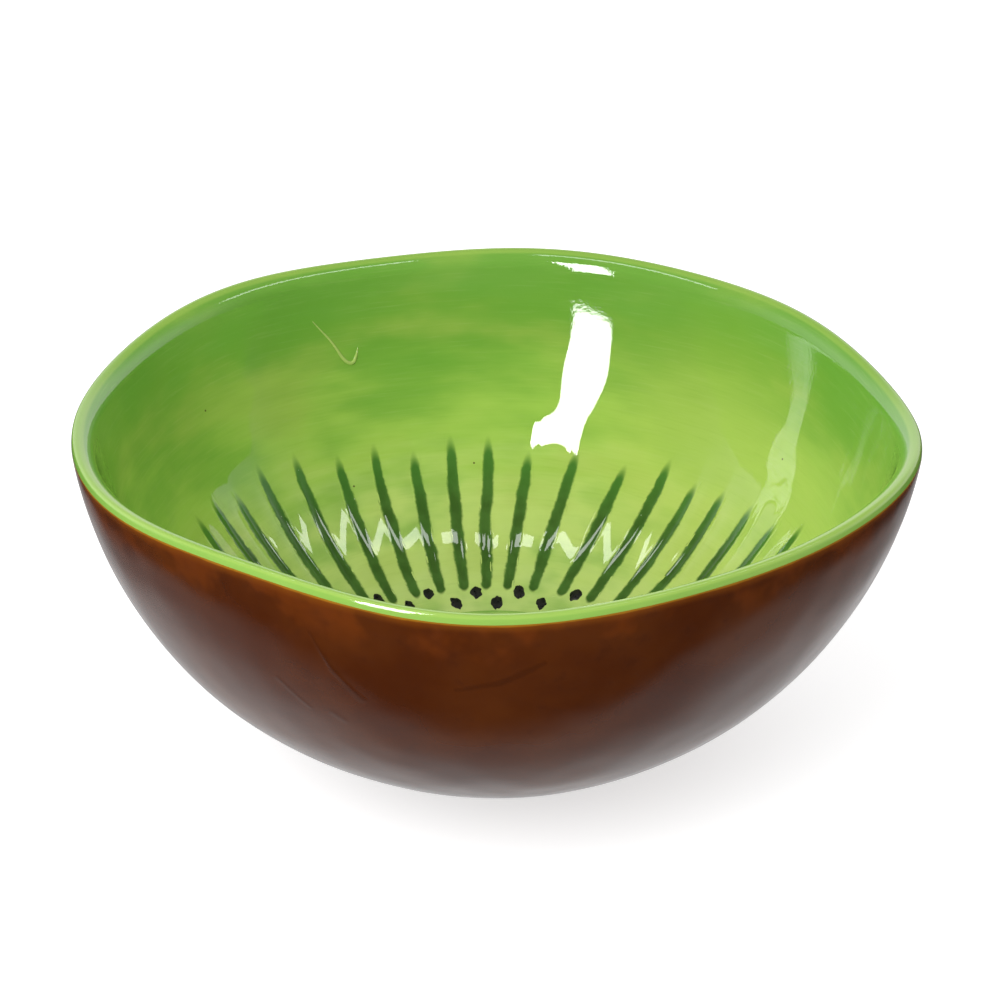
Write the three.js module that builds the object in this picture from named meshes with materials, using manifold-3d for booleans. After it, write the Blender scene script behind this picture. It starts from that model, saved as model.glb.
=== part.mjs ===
// A hand-made ceramic bowl painted as a halved kiwi fruit. One thrown clay body stands on a low foot ring.
// A brown glaze coats its outside, a green glaze its inside and its lip, and on the green lie a pale core,
// a ring of raised seeds and one raised brush stroke beside each seed.
// Millimetres, +Z up. The origin is the centre of the foot, on the surface that the bowl stands on.

import * as THREE from 'three';
import { mergeVertices } from 'three/addons/utils/BufferGeometryUtils.js';
import Module from 'manifold-3d';

const wasm = await Module();
wasm.setup();
const { degToRad, lerp } = THREE.MathUtils;

// Finished bowl, over its glazes
const bowlDiameter = 160;
const bowlHeight = 70.6;

// Clay wall: two curves that leave the axis flat, turn up at the belly and run to the lip
const wallThickness = 4.4;
const lipThickness = 3.2;
const keelHeight = 0.5;
const bellyReach = 51.5;
const rimLean = 3.7;
const rimRun = 32.3;
const floorDraw = 6.2;
const insideDrop = 1.2;

// Lip: narrow on the outside, and rounded off broadly on the inside, where it runs down into the wall
const lipInset = 0.8;
const lipPull = 1.5;
const lipWidth = 4.35;
const wallPull = 2.86;

// Foot ring and the recess inside it
const footRadius = 24;
const footWidth = 4.5;
const footFlare = 0.8;
const footRecess = 1.8;
const recessSlope = 1.2;

// Glaze coats
const outerGlaze = 0.5;
const innerGlaze = 0.6;
const baseGlaze = 0.4;
const bareFootEdge = 0.8;
const lipSeamAngle = 20;
const seatGap = 0.3;

// Waves that the potter's hands left in the rim: lobes round it, reach in mm, angle of one peak in degrees
const rimSway = [
  { lobes: 2, reach: 0.83, peak: 118 },
  { lobes: 3, reach: 0.44, peak: 91 },
  { lobes: 4, reach: 0.54, peak: 83 },
  { lobes: 5, reach: 0.65, peak: 58 },
  { lobes: 6, reach: 0.17, peak: 35 },
];
const rimRise = [
  { lobes: 1, reach: 0.14, peak: 171 },
  { lobes: 2, reach: 0.31, peak: 91 },
  { lobes: 3, reach: 0.39, peak: 93 },
  { lobes: 4, reach: 0.61, peak: 49 },
  { lobes: 7, reach: 0.4, peak: 32 },
];

// Painted core in the middle of the floor
const coreRadius = 30.5;
const coreThickness = 0.5;
const coreEdgeThickness = 0.25;
const coreCrown = 4;

// Brush strokes, from the wall down to the seeds, and the unevenness of the hand that drew them
const strokeCount = 44;
const strokeWidth = 2.1;
const strokeThickness = 0.5;
const strokeTipShare = 0.35;
const strokeCrestShare = 0.45;
const strokeFullness = 0.7;
const strokeTopInset = 17.9;
const strokeFootRadius = 35.6;
const strokeLean = 2.1;
const strokeSwing = [
  { lobes: 2, reach: 1.1, peak: 114 },
  { lobes: 4, reach: 1.4, peak: 68 },
  { lobes: 6, reach: 1.3, peak: 2 },
];
const firstStrokeAngle = 89.1;
const strokeDrift = [
  { lobes: 3, reach: 1.45, peak: 101 },
  { lobes: 6, reach: 1.0, peak: 22 },
  { lobes: 8, reach: 0.6, peak: 1 },
  { lobes: 10, reach: 0.6, peak: 4 },
];
const strokeReach = [
  { lobes: 2, reach: 1.6, peak: 160 },
  { lobes: 9, reach: 0.6, peak: 14 },
  { lobes: 18, reach: 0.9, peak: 15 },
];

// Seeds, one in each gap between two strokes, in two staggered rows
const seedLength = 2.6;
const seedWidth = 2.1;
const seedThickness = 0.9;
const seedLift = 0.2;
const seedOuterRow = 35.4;
const seedInnerRow = 32.8;

// Facets and fineness
const roundSteps = 48;
const bellySteps = 10;
const lipSteps = 3;
const roundingSteps = 4;
const insideSteps = 10;
const coreSteps = 3;
const strokeSteps = 5;
const seedSides = 6;
const seedRings = 3;
const halvings = 40;
const weldDistance = 1e-4;

const rimRadius = bowlDiameter / 2 - outerGlaze;
const lipRadius = lipThickness / 2;
const lipCentre = bowlHeight - innerGlaze - lipRadius;
const floorHeight = keelHeight + wallThickness;
const strokeTopRadius = rimRadius - strokeTopInset;

const outerCurve = new THREE.CubicBezierCurve(
  new THREE.Vector2(0, keelHeight),
  new THREE.Vector2(bellyReach, keelHeight),
  new THREE.Vector2(rimRadius - rimLean, lipCentre - rimRun),
  new THREE.Vector2(rimRadius, lipCentre),
);
const innerCurve = new THREE.CubicBezierCurve(
  new THREE.Vector2(0, floorHeight),
  new THREE.Vector2(bellyReach - floorDraw, floorHeight),
  new THREE.Vector2(rimRadius - rimLean - wallThickness, lipCentre - rimRun - insideDrop),
  new THREE.Vector2(rimRadius - lipThickness, lipCentre),
);

// Sum of the waves at an angle in radians
function waveAt(waves, angle) {
  const heights = waves.map(({ lobes, reach, peak }) => reach * Math.cos(lobes * (angle - degToRad(peak))));
  return heights.reduce((sum, height) => sum + height, 0);
}

// Moves a point of a truly round bowl to where the hands left it: not at all at the foot, fully at the rim
function handForm(point) {
  const radius = Math.hypot(point.x, point.y);
  const angle = Math.atan2(point.y, point.x);
  const share = (point.z / bowlHeight) * (radius / rimRadius);
  const formed = radius + share * waveAt(rimSway, angle);
  return new THREE.Vector3(
    formed * Math.cos(angle),
    formed * Math.sin(angle),
    point.z + share * waveAt(rimRise, angle),
  );
}

// Share of a curve's length at which it reaches a radius, by halving
function placeAtRadius(curve, radius) {
  let low = 0;
  let high = 1;
  for (let step = 0; step < halvings; step++) {
    const middle = (low + high) / 2;
    if (curve.getPointAt(middle).x < radius) low = middle;
    else high = middle;
  }
  return (low + high) / 2;
}

// Evenly spaced points of a curve between two shares of its length
function stretch(curve, from, to, steps) {
  return Array.from({ length: steps + 1 }, (_, step) => curve.getPointAt(lerp(from, to, step / steps)));
}

// Direction out of the clay on the way from one point of its outline to the next
function sideNormal(start, end) {
  return new THREE.Vector2(end.y - start.y, start.x - end.x).normalize();
}

// Direction out of the clay at each point of its outline, long enough to mitre a coat's corners
function outlineNormals(outline) {
  return outline.map((point, index) => {
    if (index === 0) return new THREE.Vector2(0, -1);
    if (index === outline.length - 1) return new THREE.Vector2(0, 1);
    const arriving = sideNormal(outline[index - 1], point);
    const leaving = sideNormal(point, outline[index + 1]);
    const middle = arriving.clone().add(leaving).normalize();
    return middle.divideScalar(middle.dot(arriving));
  });
}

// Turns an outline round the axis and gives it the hand-made waves
function turned(outline) {
  const geometry = new THREE.LatheGeometry(outline, roundSteps);
  geometry.rotateX(Math.PI / 2);
  const positions = geometry.attributes.position;
  for (let index = 0; index < positions.count; index++) {
    const formed = handForm(new THREE.Vector3().fromBufferAttribute(positions, index));
    positions.setXYZ(index, formed.x, formed.y, formed.z);
  }
  return geometry;
}

// The same for a coat, whose outline runs along the clay in the clay's own direction, so that both are cut
// into the same facets where they touch: its faces come out pointing inwards and are turned over
function turnedCoat(outline) {
  const geometry = turned(outline);
  const corners = geometry.index.array;
  for (let first = 0; first < corners.length; first += 3) {
    [corners[first], corners[first + 1]] = [corners[first + 1], corners[first]];
  }
  return geometry;
}

// Closes a row of four-sided sections into one solid
function lofted(sections) {
  const corners = sections[0].length;
  const index = [];
  for (let row = 0; row < sections.length - 1; row++) {
    for (let corner = 0; corner < corners; corner++) {
      const next = (corner + 1) % corners;
      const near = row * corners;
      const far = near + corners;
      index.push(near + corner, far + next, near + next, near + corner, far + corner, far + next);
    }
  }
  const last = (sections.length - 1) * corners;
  index.push(0, 1, 2, 0, 2, 3, last, last + 2, last + 1, last, last + 3, last + 2);
  const geometry = new THREE.BufferGeometry().setFromPoints(sections.flat());
  geometry.setIndex(index);
  return geometry;
}

// Place on the green glaze at a radius, an angle in radians and a height above it, with the way up and along
function onInside(radius, angle, lift) {
  const place = placeAtRadius(innerCurve, radius);
  const point = innerCurve.getPointAt(place);
  const along = innerCurve.getTangentAt(place);
  const outward = new THREE.Vector3(Math.cos(angle), Math.sin(angle), 0);
  const axis = new THREE.Vector3(0, 0, 1);
  const up = outward.clone().multiplyScalar(-along.y).addScaledVector(axis, along.x);
  const climb = outward.clone().multiplyScalar(along.x).addScaledVector(axis, along.y);
  const base = outward.clone().multiplyScalar(point.x).addScaledVector(axis, point.y);
  return { point: handForm(base.addScaledVector(up, innerGlaze + lift)), up, climb };
}

function toSolid(geometry) {
  const bare = geometry.clone();
  bare.deleteAttribute('normal');
  bare.deleteAttribute('uv');
  const merged = mergeVertices(bare, weldDistance);
  return new wasm.Manifold(new wasm.Mesh({
    numProp: 3,
    vertProperties: merged.attributes.position.array,
    triVerts: new Uint32Array(merged.index.array),
  }));
}

function toGeometry(solid) {
  const mesh = solid.getMesh();
  const geometry = new THREE.BufferGeometry();
  geometry.setAttribute('position', new THREE.BufferAttribute(mesh.vertProperties, 3));
  geometry.setIndex(new THREE.BufferAttribute(mesh.triVerts, 1));
  return geometry;
}

// Outline of the clay: recess, foot ring, belly, lip and inside, from the axis below to the axis above
const shoulderPlace = placeAtRadius(outerCurve, footRadius + footFlare);
const shoulder = outerCurve.getPointAt(shoulderPlace);
const footEdge = new THREE.Vector2(footRadius, 0);
const recessRadius = footRadius - footWidth - recessSlope;
const sole = [
  new THREE.Vector2(0, footRecess),
  new THREE.Vector2(recessRadius, footRecess),
  new THREE.Vector2(footRadius - footWidth, 0),
  footEdge,
];
const glazeLine = footEdge.clone().lerp(shoulder, bareFootEdge / shoulder.y);
const belly = stretch(outerCurve, shoulderPlace, 1, bellySteps);
const onLip = (angle) => new THREE.Vector2(
  rimRadius - lipInset + lipInset * Math.cos(angle),
  lipCentre + lipRadius * Math.sin(angle),
);
const brownEnd = onLip(degToRad(lipSeamAngle) - seatGap / lipRadius);
const lip = Array.from({ length: lipSteps }, (_, step) => {
  return onLip(degToRad(lerp(lipSeamAngle, 90, step / lipSteps)));
});
const crest = onLip(degToRad(90));
const inletPlace = placeAtRadius(innerCurve, rimRadius - lipWidth);
const inlet = innerCurve.getPointAt(inletPlace);
const roundingCurve = new THREE.CubicBezierCurve(
  crest,
  new THREE.Vector2(crest.x - lipPull, crest.y),
  inlet.clone().addScaledVector(innerCurve.getTangentAt(inletPlace), wallPull),
  inlet,
);
const rounding = stretch(roundingCurve, 0, 1, roundingSteps).slice(0, -1);
const inside = stretch(innerCurve, inletPlace, 0, insideSteps);
const brownStretch = [glazeLine, ...belly, brownEnd];
const greenStretch = [...lip, ...rounding, ...inside];
const clayOutline = [...sole, ...brownStretch, ...greenStretch];
const clayNormals = outlineNormals(clayOutline);

// Outer face of a coat of glaze on a stretch of the clay
function coatFace(covered, thickness) {
  const first = clayOutline.indexOf(covered[0]);
  return covered.map((point, index) => point.clone().addScaledVector(clayNormals[first + index], thickness));
}

function clayBody() {
  return turned(clayOutline);
}

// Brown coat, from just above the foot's edge to the seam on the outside of the lip
function outerCoat() {
  return turnedCoat([...brownStretch, ...coatFace(brownStretch, outerGlaze).reverse(), brownStretch[0]]);
}

// Green coat, from the seam over the lip and down to the middle of the floor, carrying the seeds
function innerCoat() {
  const coat = toSolid(turnedCoat([...coatFace(greenStretch, innerGlaze).reverse(), ...greenStretch]));
  const seeds = Array.from({ length: strokeCount }, (_, index) => toSolid(seed(index)));
  return toGeometry(seeds.reduce((joined, next) => joined.add(next), coat));
}

// Brown coat on the recess inside the foot ring
function baseCoat() {
  const edge = recessRadius - seatGap;
  return turned([
    new THREE.Vector2(0, footRecess - baseGlaze),
    new THREE.Vector2(edge, footRecess - baseGlaze),
    new THREE.Vector2(edge, footRecess),
    new THREE.Vector2(0, footRecess),
  ]);
}

// Pale core: a low pad that follows the floor and thins out to its edge
function coreCoat() {
  const radii = Array.from({ length: coreSteps + 1 }, (_, step) => coreRadius * Math.sqrt(step / coreSteps));
  const face = (lift) => radii.map((radius) => {
    const place = placeAtRadius(innerCurve, radius);
    const along = innerCurve.getTangentAt(place);
    const height = innerGlaze + seatGap + lift(radius / coreRadius);
    if (radius === 0) return new THREE.Vector2(0, floorHeight + height);
    return innerCurve.getPointAt(place).add(new THREE.Vector2(-along.y, along.x).multiplyScalar(height));
  });
  const under = face(() => 0);
  const over = face((share) => lerp(coreThickness, coreEdgeThickness, share ** coreCrown));
  return turned([...under, ...over.reverse()]);
}

// Angle, in radians, of a stroke at its top on the wall
function strokeAngle(index) {
  const even = degToRad(firstStrokeAngle + (360 / strokeCount) * index);
  return even + degToRad(waveAt(strokeDrift, even));
}

// Turn, in radians, of a stroke on its way from its top to its foot
function strokeTurn(top) {
  return degToRad(strokeLean + waveAt(strokeSwing, top));
}

// One stroke: a low ridge of paint that starts thin on the wall, swells and thins out again at the seeds
function brushStroke(index) {
  const top = strokeAngle(index);
  const topRadius = strokeTopRadius + waveAt(strokeReach, top);
  const sections = Array.from({ length: strokeSteps + 1 }, (_, step) => {
    const share = step / strokeSteps;
    const radius = lerp(topRadius, strokeFootRadius, share);
    const angle = top + strokeTurn(top) * share;
    const swell = lerp(strokeTipShare, 1, Math.sin(Math.PI * share) ** strokeFullness);
    const half = (strokeWidth * swell) / 2 / radius;
    const crest = seatGap + strokeThickness * swell;
    return [
      onInside(radius, angle - half, seatGap).point,
      onInside(radius, angle + half, seatGap).point,
      onInside(radius, angle + half * strokeCrestShare, crest).point,
      onInside(radius, angle - half * strokeCrestShare, crest).point,
    ];
  });
  return lofted(sections);
}

// One seed: a small oval drop, half sunk in the green glaze, midway between two strokes
function seed(index) {
  const next = (index + 1) % strokeCount;
  const turn = next === 0 ? 2 * Math.PI : 0;
  const middle = (strokeAngle(index) + strokeAngle(next) + turn) / 2;
  const angle = middle + strokeTurn(middle);
  const radius = index % 2 === 0 ? seedOuterRow : seedInnerRow;
  const { point, up, climb } = onInside(radius, angle, seedLift);
  const across = new THREE.Vector3().crossVectors(up, climb);
  const geometry = new THREE.SphereGeometry(0.5, seedSides, seedRings);
  geometry.scale(seedLength, seedThickness, seedWidth);
  geometry.applyMatrix4(new THREE.Matrix4().makeBasis(climb, up, across.negate()).setPosition(point));
  return geometry;
}

const clay = new THREE.MeshStandardMaterial({ color: 0xe9dfcf, roughness: 0.8, metalness: 0 });
const brown = new THREE.MeshStandardMaterial({ color: 0x6b380c, roughness: 0.18, metalness: 0 });
const green = new THREE.MeshStandardMaterial({ color: 0x86b43f, roughness: 0.12, metalness: 0 });
const pale = new THREE.MeshStandardMaterial({ color: 0xc6d58a, roughness: 0.12, metalness: 0 });
const darkGreen = new THREE.MeshStandardMaterial({ color: 0x35551c, roughness: 0.15, metalness: 0 });

const bowl = new THREE.Group();

function addPiece(name, geometry, material) {
  const piece = new THREE.Mesh(geometry, material.clone());
  piece.name = name;
  bowl.add(piece);
}

addPiece('clay_body', clayBody(), clay);
addPiece('outer_glaze', outerCoat(), brown);
addPiece('inner_glaze', innerCoat(), green);
addPiece('base_glaze', baseCoat(), brown);
addPiece('core_glaze', coreCoat(), pale);
for (let index = 0; index < strokeCount; index++) {
  addPiece(`stroke_${String(index + 1).padStart(2, '0')}`, brushStroke(index), darkGreen);
}

export default bowl;
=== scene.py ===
import bisect
import math
import random

import bpy
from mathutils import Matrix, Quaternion, Vector, noise


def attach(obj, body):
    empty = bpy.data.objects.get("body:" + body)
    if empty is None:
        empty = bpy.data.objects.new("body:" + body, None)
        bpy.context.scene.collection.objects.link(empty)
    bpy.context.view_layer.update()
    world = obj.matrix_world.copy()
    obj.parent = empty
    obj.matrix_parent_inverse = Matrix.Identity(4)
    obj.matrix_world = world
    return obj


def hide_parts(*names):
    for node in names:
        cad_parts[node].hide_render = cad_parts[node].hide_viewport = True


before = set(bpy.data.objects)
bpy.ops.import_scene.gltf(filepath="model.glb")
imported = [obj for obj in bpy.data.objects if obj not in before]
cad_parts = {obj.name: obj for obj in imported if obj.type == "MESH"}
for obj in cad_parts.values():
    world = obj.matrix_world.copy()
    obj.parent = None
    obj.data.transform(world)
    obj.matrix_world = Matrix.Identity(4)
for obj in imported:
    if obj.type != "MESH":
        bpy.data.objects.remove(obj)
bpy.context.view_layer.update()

# Clay body
# One bowl of pale clay, thrown on a wheel and pressed uneven by hand, with a low foot ring turned under it.
# Glaze hides it nearly all over: only the sole of the foot ring stays bare.
MM = 0.001
ROUND_STEPS = 396
BOWL_HEIGHT = 70.6
RIM_RADIUS = 79.5
LIP_CENTRE = 68.4
LIP_OUTER = ((RIM_RADIUS, LIP_CENTRE), (RIM_RADIUS, 69.2), (79.35, 70), (79, 70))
LIP_BENDS = ((90, 58, 2.2), (58, 46, 5), (46, 18, 4), (18, 13, 8))
LIP_PULL = 9
WALL_PULL = 7
WALL_RADIUS = 64.4
OUTSIDE = ((0, 0.5), (51.5, 0.5), (75.8, 36.1), (RIM_RADIUS, LIP_CENTRE))
INSIDE = ((76.3, LIP_CENTRE), (71.4, 34.9), (45.3, 4.9), (0, 4.9))
FOOT_RADIUS = 24
FOOT_INNER_RADIUS = 19.5
RECESS_RADIUS = 18.3
RECESS_HEIGHT = 1.8
SHOULDER_RADIUS = 24.8
RIM_SWAY = ((2, 0.83, 118), (3, 0.44, 91), (4, 0.54, 83), (5, 0.65, 58), (6, 0.17, 35))
RIM_RISE = ((1, 0.14, 171), (2, 0.31, 91), (3, 0.39, 93), (4, 0.61, 49), (7, 0.4, 32))
CLAY_SHADE = (0.62, 0.5, 0.36)
CLAY_LIGHT = (0.72, 0.62, 0.49)
CLAY_STAIN = (0.42, 0.27, 0.15)


def split(curve, share):
    """The rows of points that split a thrown curve at a share of its way: the last holds the place itself."""
    rows = [[Vector(knot) for knot in curve]]
    while len(rows[-1]) > 1:
        rows.append([a.lerp(b, share) for a, b in zip(rows[-1], rows[-1][1:])])
    return rows


def later_part(curve, radius):
    """The stretch of a thrown curve beyond a radius, as a curve of its own."""
    low, high = 0.0, 1.0
    widens = curve[-1][0] > curve[0][0]
    for _ in range(40):
        share = (low + high) / 2
        rows = split(curve, share)
        low, high = (share, high) if (rows[-1][0].x < radius) == widens else (low, share)
    return [row[-1] for row in reversed(rows)]


def straight(start, end):
    """A straight stretch, as a curve of four points."""
    return start, Vector(start).lerp(Vector(end), 1 / 3), Vector(start).lerp(Vector(end), 2 / 3), end


def bend(start, climb, end_climb, radius):
    """A curve round the inside of the lip, between the two climbs that its face looks up at, in degrees."""
    first, last = math.radians(climb), math.radians(end_climb)
    handle = 4 / 3 * math.tan((first - last) / 4) * radius
    first_way = Vector((-math.sin(first), -math.cos(first)))
    last_way = Vector((-math.sin(last), -math.cos(last)))
    end = start + radius * Vector((math.cos(first) - math.cos(last), math.sin(last) - math.sin(first)))
    return start, start + first_way * handle, end - last_way * handle, end


def draw_section(name, stretches):
    """Draws half a section in curves of four points, each with its number of steps, and makes it a mesh."""
    bpy.ops.object.select_all(action="DESELECT")
    bpy.ops.curve.primitive_bezier_curve_add()
    drawing = bpy.context.object
    drawing.name = name
    drawing.data.splines.clear()
    for curve, steps in stretches:
        spline = drawing.data.splines.new("BEZIER")
        spline.resolution_u = steps
        spline.bezier_points.add(1)
        places = [Vector((radius, 0, height)) * MM for radius, height in curve]
        ends = (places[0], places[3])
        handles = (places[1], places[2])
        for knot, end, handle in zip(spline.bezier_points, ends, handles):
            knot.handle_left_type = knot.handle_right_type = "FREE"
            knot.co = end
            knot.handle_left = knot.handle_right = handle
    bpy.ops.object.convert(target="MESH")
    return bpy.context.object


def turn_on_wheel(steps):
    """Spins the half section just drawn once round the axis and closes the seam and the poles."""
    bpy.ops.object.mode_set(mode="EDIT")
    bpy.ops.mesh.select_all(action="SELECT")
    bpy.ops.mesh.remove_doubles(threshold=1e-6)
    bpy.ops.mesh.spin(steps=steps, angle=2 * math.pi, center=(0, 0, 0), axis=(0, 0, 1))
    bpy.ops.mesh.select_all(action="SELECT")
    bpy.ops.mesh.remove_doubles(threshold=1e-5)
    bpy.ops.mesh.normals_make_consistent(inside=False)
    bpy.ops.object.mode_set(mode="OBJECT")


def select_only(piece):
    bpy.ops.object.select_all(action="DESELECT")
    piece.select_set(True)
    bpy.context.view_layer.objects.active = piece


def copy_of(piece, name):
    """A copy of a piece with a mesh of its own."""
    select_only(piece)
    bpy.ops.object.duplicate()
    copy = bpy.context.object
    copy.name = name
    return copy


def measure(point):
    """Radius in mm, angle and height in mm of a point in metres."""
    return math.hypot(point.x, point.y) / MM, math.atan2(point.y, point.x), point.z / MM


def spot_at(radius, angle, height):
    return Vector((radius * math.cos(angle), radius * math.sin(angle), height))


def wave(waves, angle):
    """The sum of slow waves round the bowl, each with its lobes, its reach and the bearing of a peak."""
    return sum(reach * math.cos(lobes * (angle - math.radians(peak))) for lobes, reach, peak in waves)


def press_by_hand(piece):
    """Moves a truly round piece to where the hands left it, and notes each point's thrown height, in mm."""
    thrown = piece.data.attributes.new("thrown_height", "FLOAT", "POINT")
    for vertex in piece.data.vertices:
        radius, angle, height = measure(vertex.co)
        thrown.data[vertex.index].value = height
        share = height / BOWL_HEIGHT * radius / RIM_RADIUS
        radius += share * wave(RIM_SWAY, angle)
        height += share * wave(RIM_RISE, angle)
        vertex.co = spot_at(radius, angle, height) * MM


def finish(piece, node, material):
    """Smooth shading, the finish, and what the piece stands for and rides on."""
    piece.data.materials.clear()
    piece.data.materials.append(material)
    select_only(piece)
    bpy.ops.object.shade_smooth_by_angle(angle=math.radians(40))
    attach(piece, "root")
    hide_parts(node)


def new_node(tree, kind, **settings):
    node = tree.nodes.new(kind)
    for name, value in settings.items():
        setattr(node, name, value)
    return node


def feed(tree, sockets, values):
    """Gives sockets their values, each of them a fixed value or a socket to link."""
    for socket, value in zip(sockets, values):
        if isinstance(value, bpy.types.NodeSocket):
            tree.links.new(value, socket)
        else:
            socket.default_value = value


def new_finish(name):
    """A material, its node tree and its shader."""
    material = bpy.data.materials.new(name)
    material.use_nodes = True
    return material, material.node_tree, material.node_tree.nodes["Principled BSDF"]


def own_place(tree):
    return new_node(tree, "ShaderNodeTexCoord").outputs["Object"]


def math_node(tree, operation, *values):
    """One sum in a material; each value is a number or a socket."""
    node = new_node(tree, "ShaderNodeMath", operation=operation)
    feed(tree, node.inputs, values)
    return node.outputs["Value"]


def times(tree, first, second):
    return math_node(tree, "MULTIPLY", first, second)


def noise_node(tree, vector, scale, detail=3.0, roughness=0.5):
    node = new_node(tree, "ShaderNodeTexNoise")
    node.inputs["Scale"].default_value = scale
    node.inputs["Detail"].default_value = detail
    node.inputs["Roughness"].default_value = roughness
    tree.links.new(vector, node.inputs["Vector"])
    return node.outputs["Fac"]


def step_node(tree, value, low, high, start=0.0, end=1.0):
    """A soft step: start up to low, end from high on."""
    node = new_node(tree, "ShaderNodeMapRange", interpolation_type="SMOOTHSTEP")
    names = ("Value", "From Min", "From Max", "To Min", "To Max")
    feed(tree, [node.inputs[name] for name in names], (value, low, high, start, end))
    return node.outputs["Result"]


def mix_node(tree, share, first, second):
    """A mix of two colours; each is three numbers or a socket."""
    node = new_node(tree, "ShaderNodeMix", data_type="RGBA")
    colours = [(*colour, 1) if isinstance(colour, tuple) else colour for colour in (first, second)]
    feed(tree, (node.inputs[0], node.inputs[6], node.inputs[7]), (share, *colours))
    return node.outputs[2]


def bump_node(tree, height, strength, distance, shader):
    node = new_node(tree, "ShaderNodeBump")
    node.inputs["Strength"].default_value = strength
    node.inputs["Distance"].default_value = distance
    tree.links.new(height, node.inputs["Height"])
    tree.links.new(node.outputs["Normal"], shader.inputs["Normal"])


belly_curve = later_part(OUTSIDE, SHOULDER_RADIUS)
wall_curve = later_part(INSIDE, WALL_RADIUS)
wall_way = (wall_curve[0] - wall_curve[1]).normalized()
lip_inner = []
lip_end = Vector(LIP_OUTER[3])
for climb, end_climb, radius in LIP_BENDS:
    lip_inner.append(bend(lip_end, climb, end_climb, radius))
    lip_end = lip_inner[-1][3]
lip_way = (lip_end - lip_inner[-1][2]).normalized()
lip_to_wall = (lip_end, lip_end + lip_way * LIP_PULL, wall_curve[0] + wall_way * WALL_PULL, wall_curve[0])
thrown_form = draw_section("thrown_form", [
    (straight((0, RECESS_HEIGHT), (RECESS_RADIUS, RECESS_HEIGHT)), 4),
    (straight((RECESS_RADIUS, RECESS_HEIGHT), (FOOT_INNER_RADIUS, 0)), 2),
    (straight((FOOT_INNER_RADIUS, 0), (FOOT_RADIUS, 0)), 2),
    (straight((FOOT_RADIUS, 0), belly_curve[0]), 5),
    (belly_curve, 44),
    (LIP_OUTER, 5),
    *((curve, 4) for curve in lip_inner),
    (lip_to_wall, 12),
    (wall_curve, 30),
])
turn_on_wheel(ROUND_STEPS)
clay = copy_of(thrown_form, "clay_bowl")
press_by_hand(clay)

clay_finish, tree, shader = new_finish("bare_clay")
place = own_place(tree)
grain = noise_node(tree, place, 900, 4, 0.7)
stain = noise_node(tree, place, 120)
pale_clay = mix_node(tree, step_node(tree, grain, 0.4, 0.65), CLAY_SHADE, CLAY_LIGHT)
stained_clay = mix_node(tree, step_node(tree, stain, 0.5, 0.75, 0, 0.5), pale_clay, CLAY_STAIN)
tree.links.new(stained_clay, shader.inputs["Base Color"])
shader.inputs["Roughness"].default_value = 0.85
bump_node(tree, grain, 0.5, 0.0002, shader)
finish(clay, "clay_body", clay_finish)

# Brown coat
# The brown glaze over the outside, from just above the foot's bare edge to the seam on the lip. It was poured
# on, so it lies in a soft wavy skin over the hollows that fingers left in the clay, and thins at the seam.
BROWN_COAT = 0.4
BROWN_LUMP = 0.1
DEEPEST_HOLLOW = 0.35
BARE_FOOT_EDGE = 0.8
SEAM_HEIGHT = 68.9
BROWN_RUNS = (
    ((-31.4, -71.3, 61.2), (-27.8, -71.1, 53.8), 0.9),
    ((-27.8, -71.1, 53.8), (-22.9, -71, 47.9), 1.3),
    ((-37.8, -63.2, 47.7), (-32.3, -63.6, 42.1), 1.3),
    ((-28.1, -65.8, 42.1), (-26.2, -65.9, 40.8), 1.5),
    ((-6.3, -77.3, 53.4), (1.2, -78.4, 55.3), 0.9),
    ((1.2, -78.4, 55.3), (8.7, -79.1, 59.6), 0.8),
)
HOLLOWS = (
    (-118, 34, 9, 0.3), (-104, 27, 8, 0.25), (-97, 20, 10, 0.3), (-70, 30, 12, 0.2), (-40, 38, 13, 0.25),
    (-150, 40, 14, 0.25), (20, 30, 14, 0.3), (75, 36, 13, 0.3), (130, 28, 14, 0.3), (170, 45, 12, 0.25),
)
DEEP_BROWN = (0.064, 0.0125, 0.0013)
WARM_BROWN = (0.09, 0.021, 0.0026)
MOTTLED_BROWN = (0.048, 0.01, 0.0017)
THIN_BROWN = (0.17, 0.036, 0.003)
RUN_BROWN = (0.03, 0.006, 0.001)
SEAM_GLOW = (0.22, 0.06, 0.004)
SEAM_EDGE = (0.42, 0.19, 0.012)
mouth = Vector((0, 0, LIP_CENTRE)) * MM


def coat_of(body, name, covers, thickness):
    """Copies the faces of a body that a glaze covers, and gives the copy the glaze's thickness."""
    coat = copy_of(body, name)
    bpy.ops.object.mode_set(mode="EDIT")
    bpy.ops.mesh.select_mode(type="FACE")
    bpy.ops.mesh.select_all(action="DESELECT")
    bpy.ops.object.mode_set(mode="OBJECT")
    for face in coat.data.polygons:
        radius, _, height = measure(face.center)
        looks_out = (face.center - mouth).dot(face.normal) > 0
        face.select = not covers(radius, height, looks_out)
    bpy.ops.object.mode_set(mode="EDIT")
    bpy.ops.mesh.delete(type="FACE")
    bpy.ops.object.mode_set(mode="OBJECT")
    skin = coat.modifiers.new("skin", "SOLIDIFY")
    skin.thickness = thickness * MM
    skin.offset = 1
    skin.use_even_offset = True
    bpy.ops.object.modifier_apply(modifier="skin")
    return coat


def shape_face(coat, faces_out, relief):
    """Raises the open face of a coat by its relief, which is in mm."""
    normals = [vertex.normal.copy() for vertex in coat.data.vertices]
    for vertex, normal in zip(coat.data.vertices, normals):
        if ((vertex.co - mouth).dot(normal) > 0) == faces_out:
            vertex.co += normal * relief(*measure(vertex.co)) * MM


def rise(value, start, end):
    """How far a value is on its way from start to end: 0 before it, 1 past it."""
    return min(1, max(0, (value - start) / (end - start)))


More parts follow.
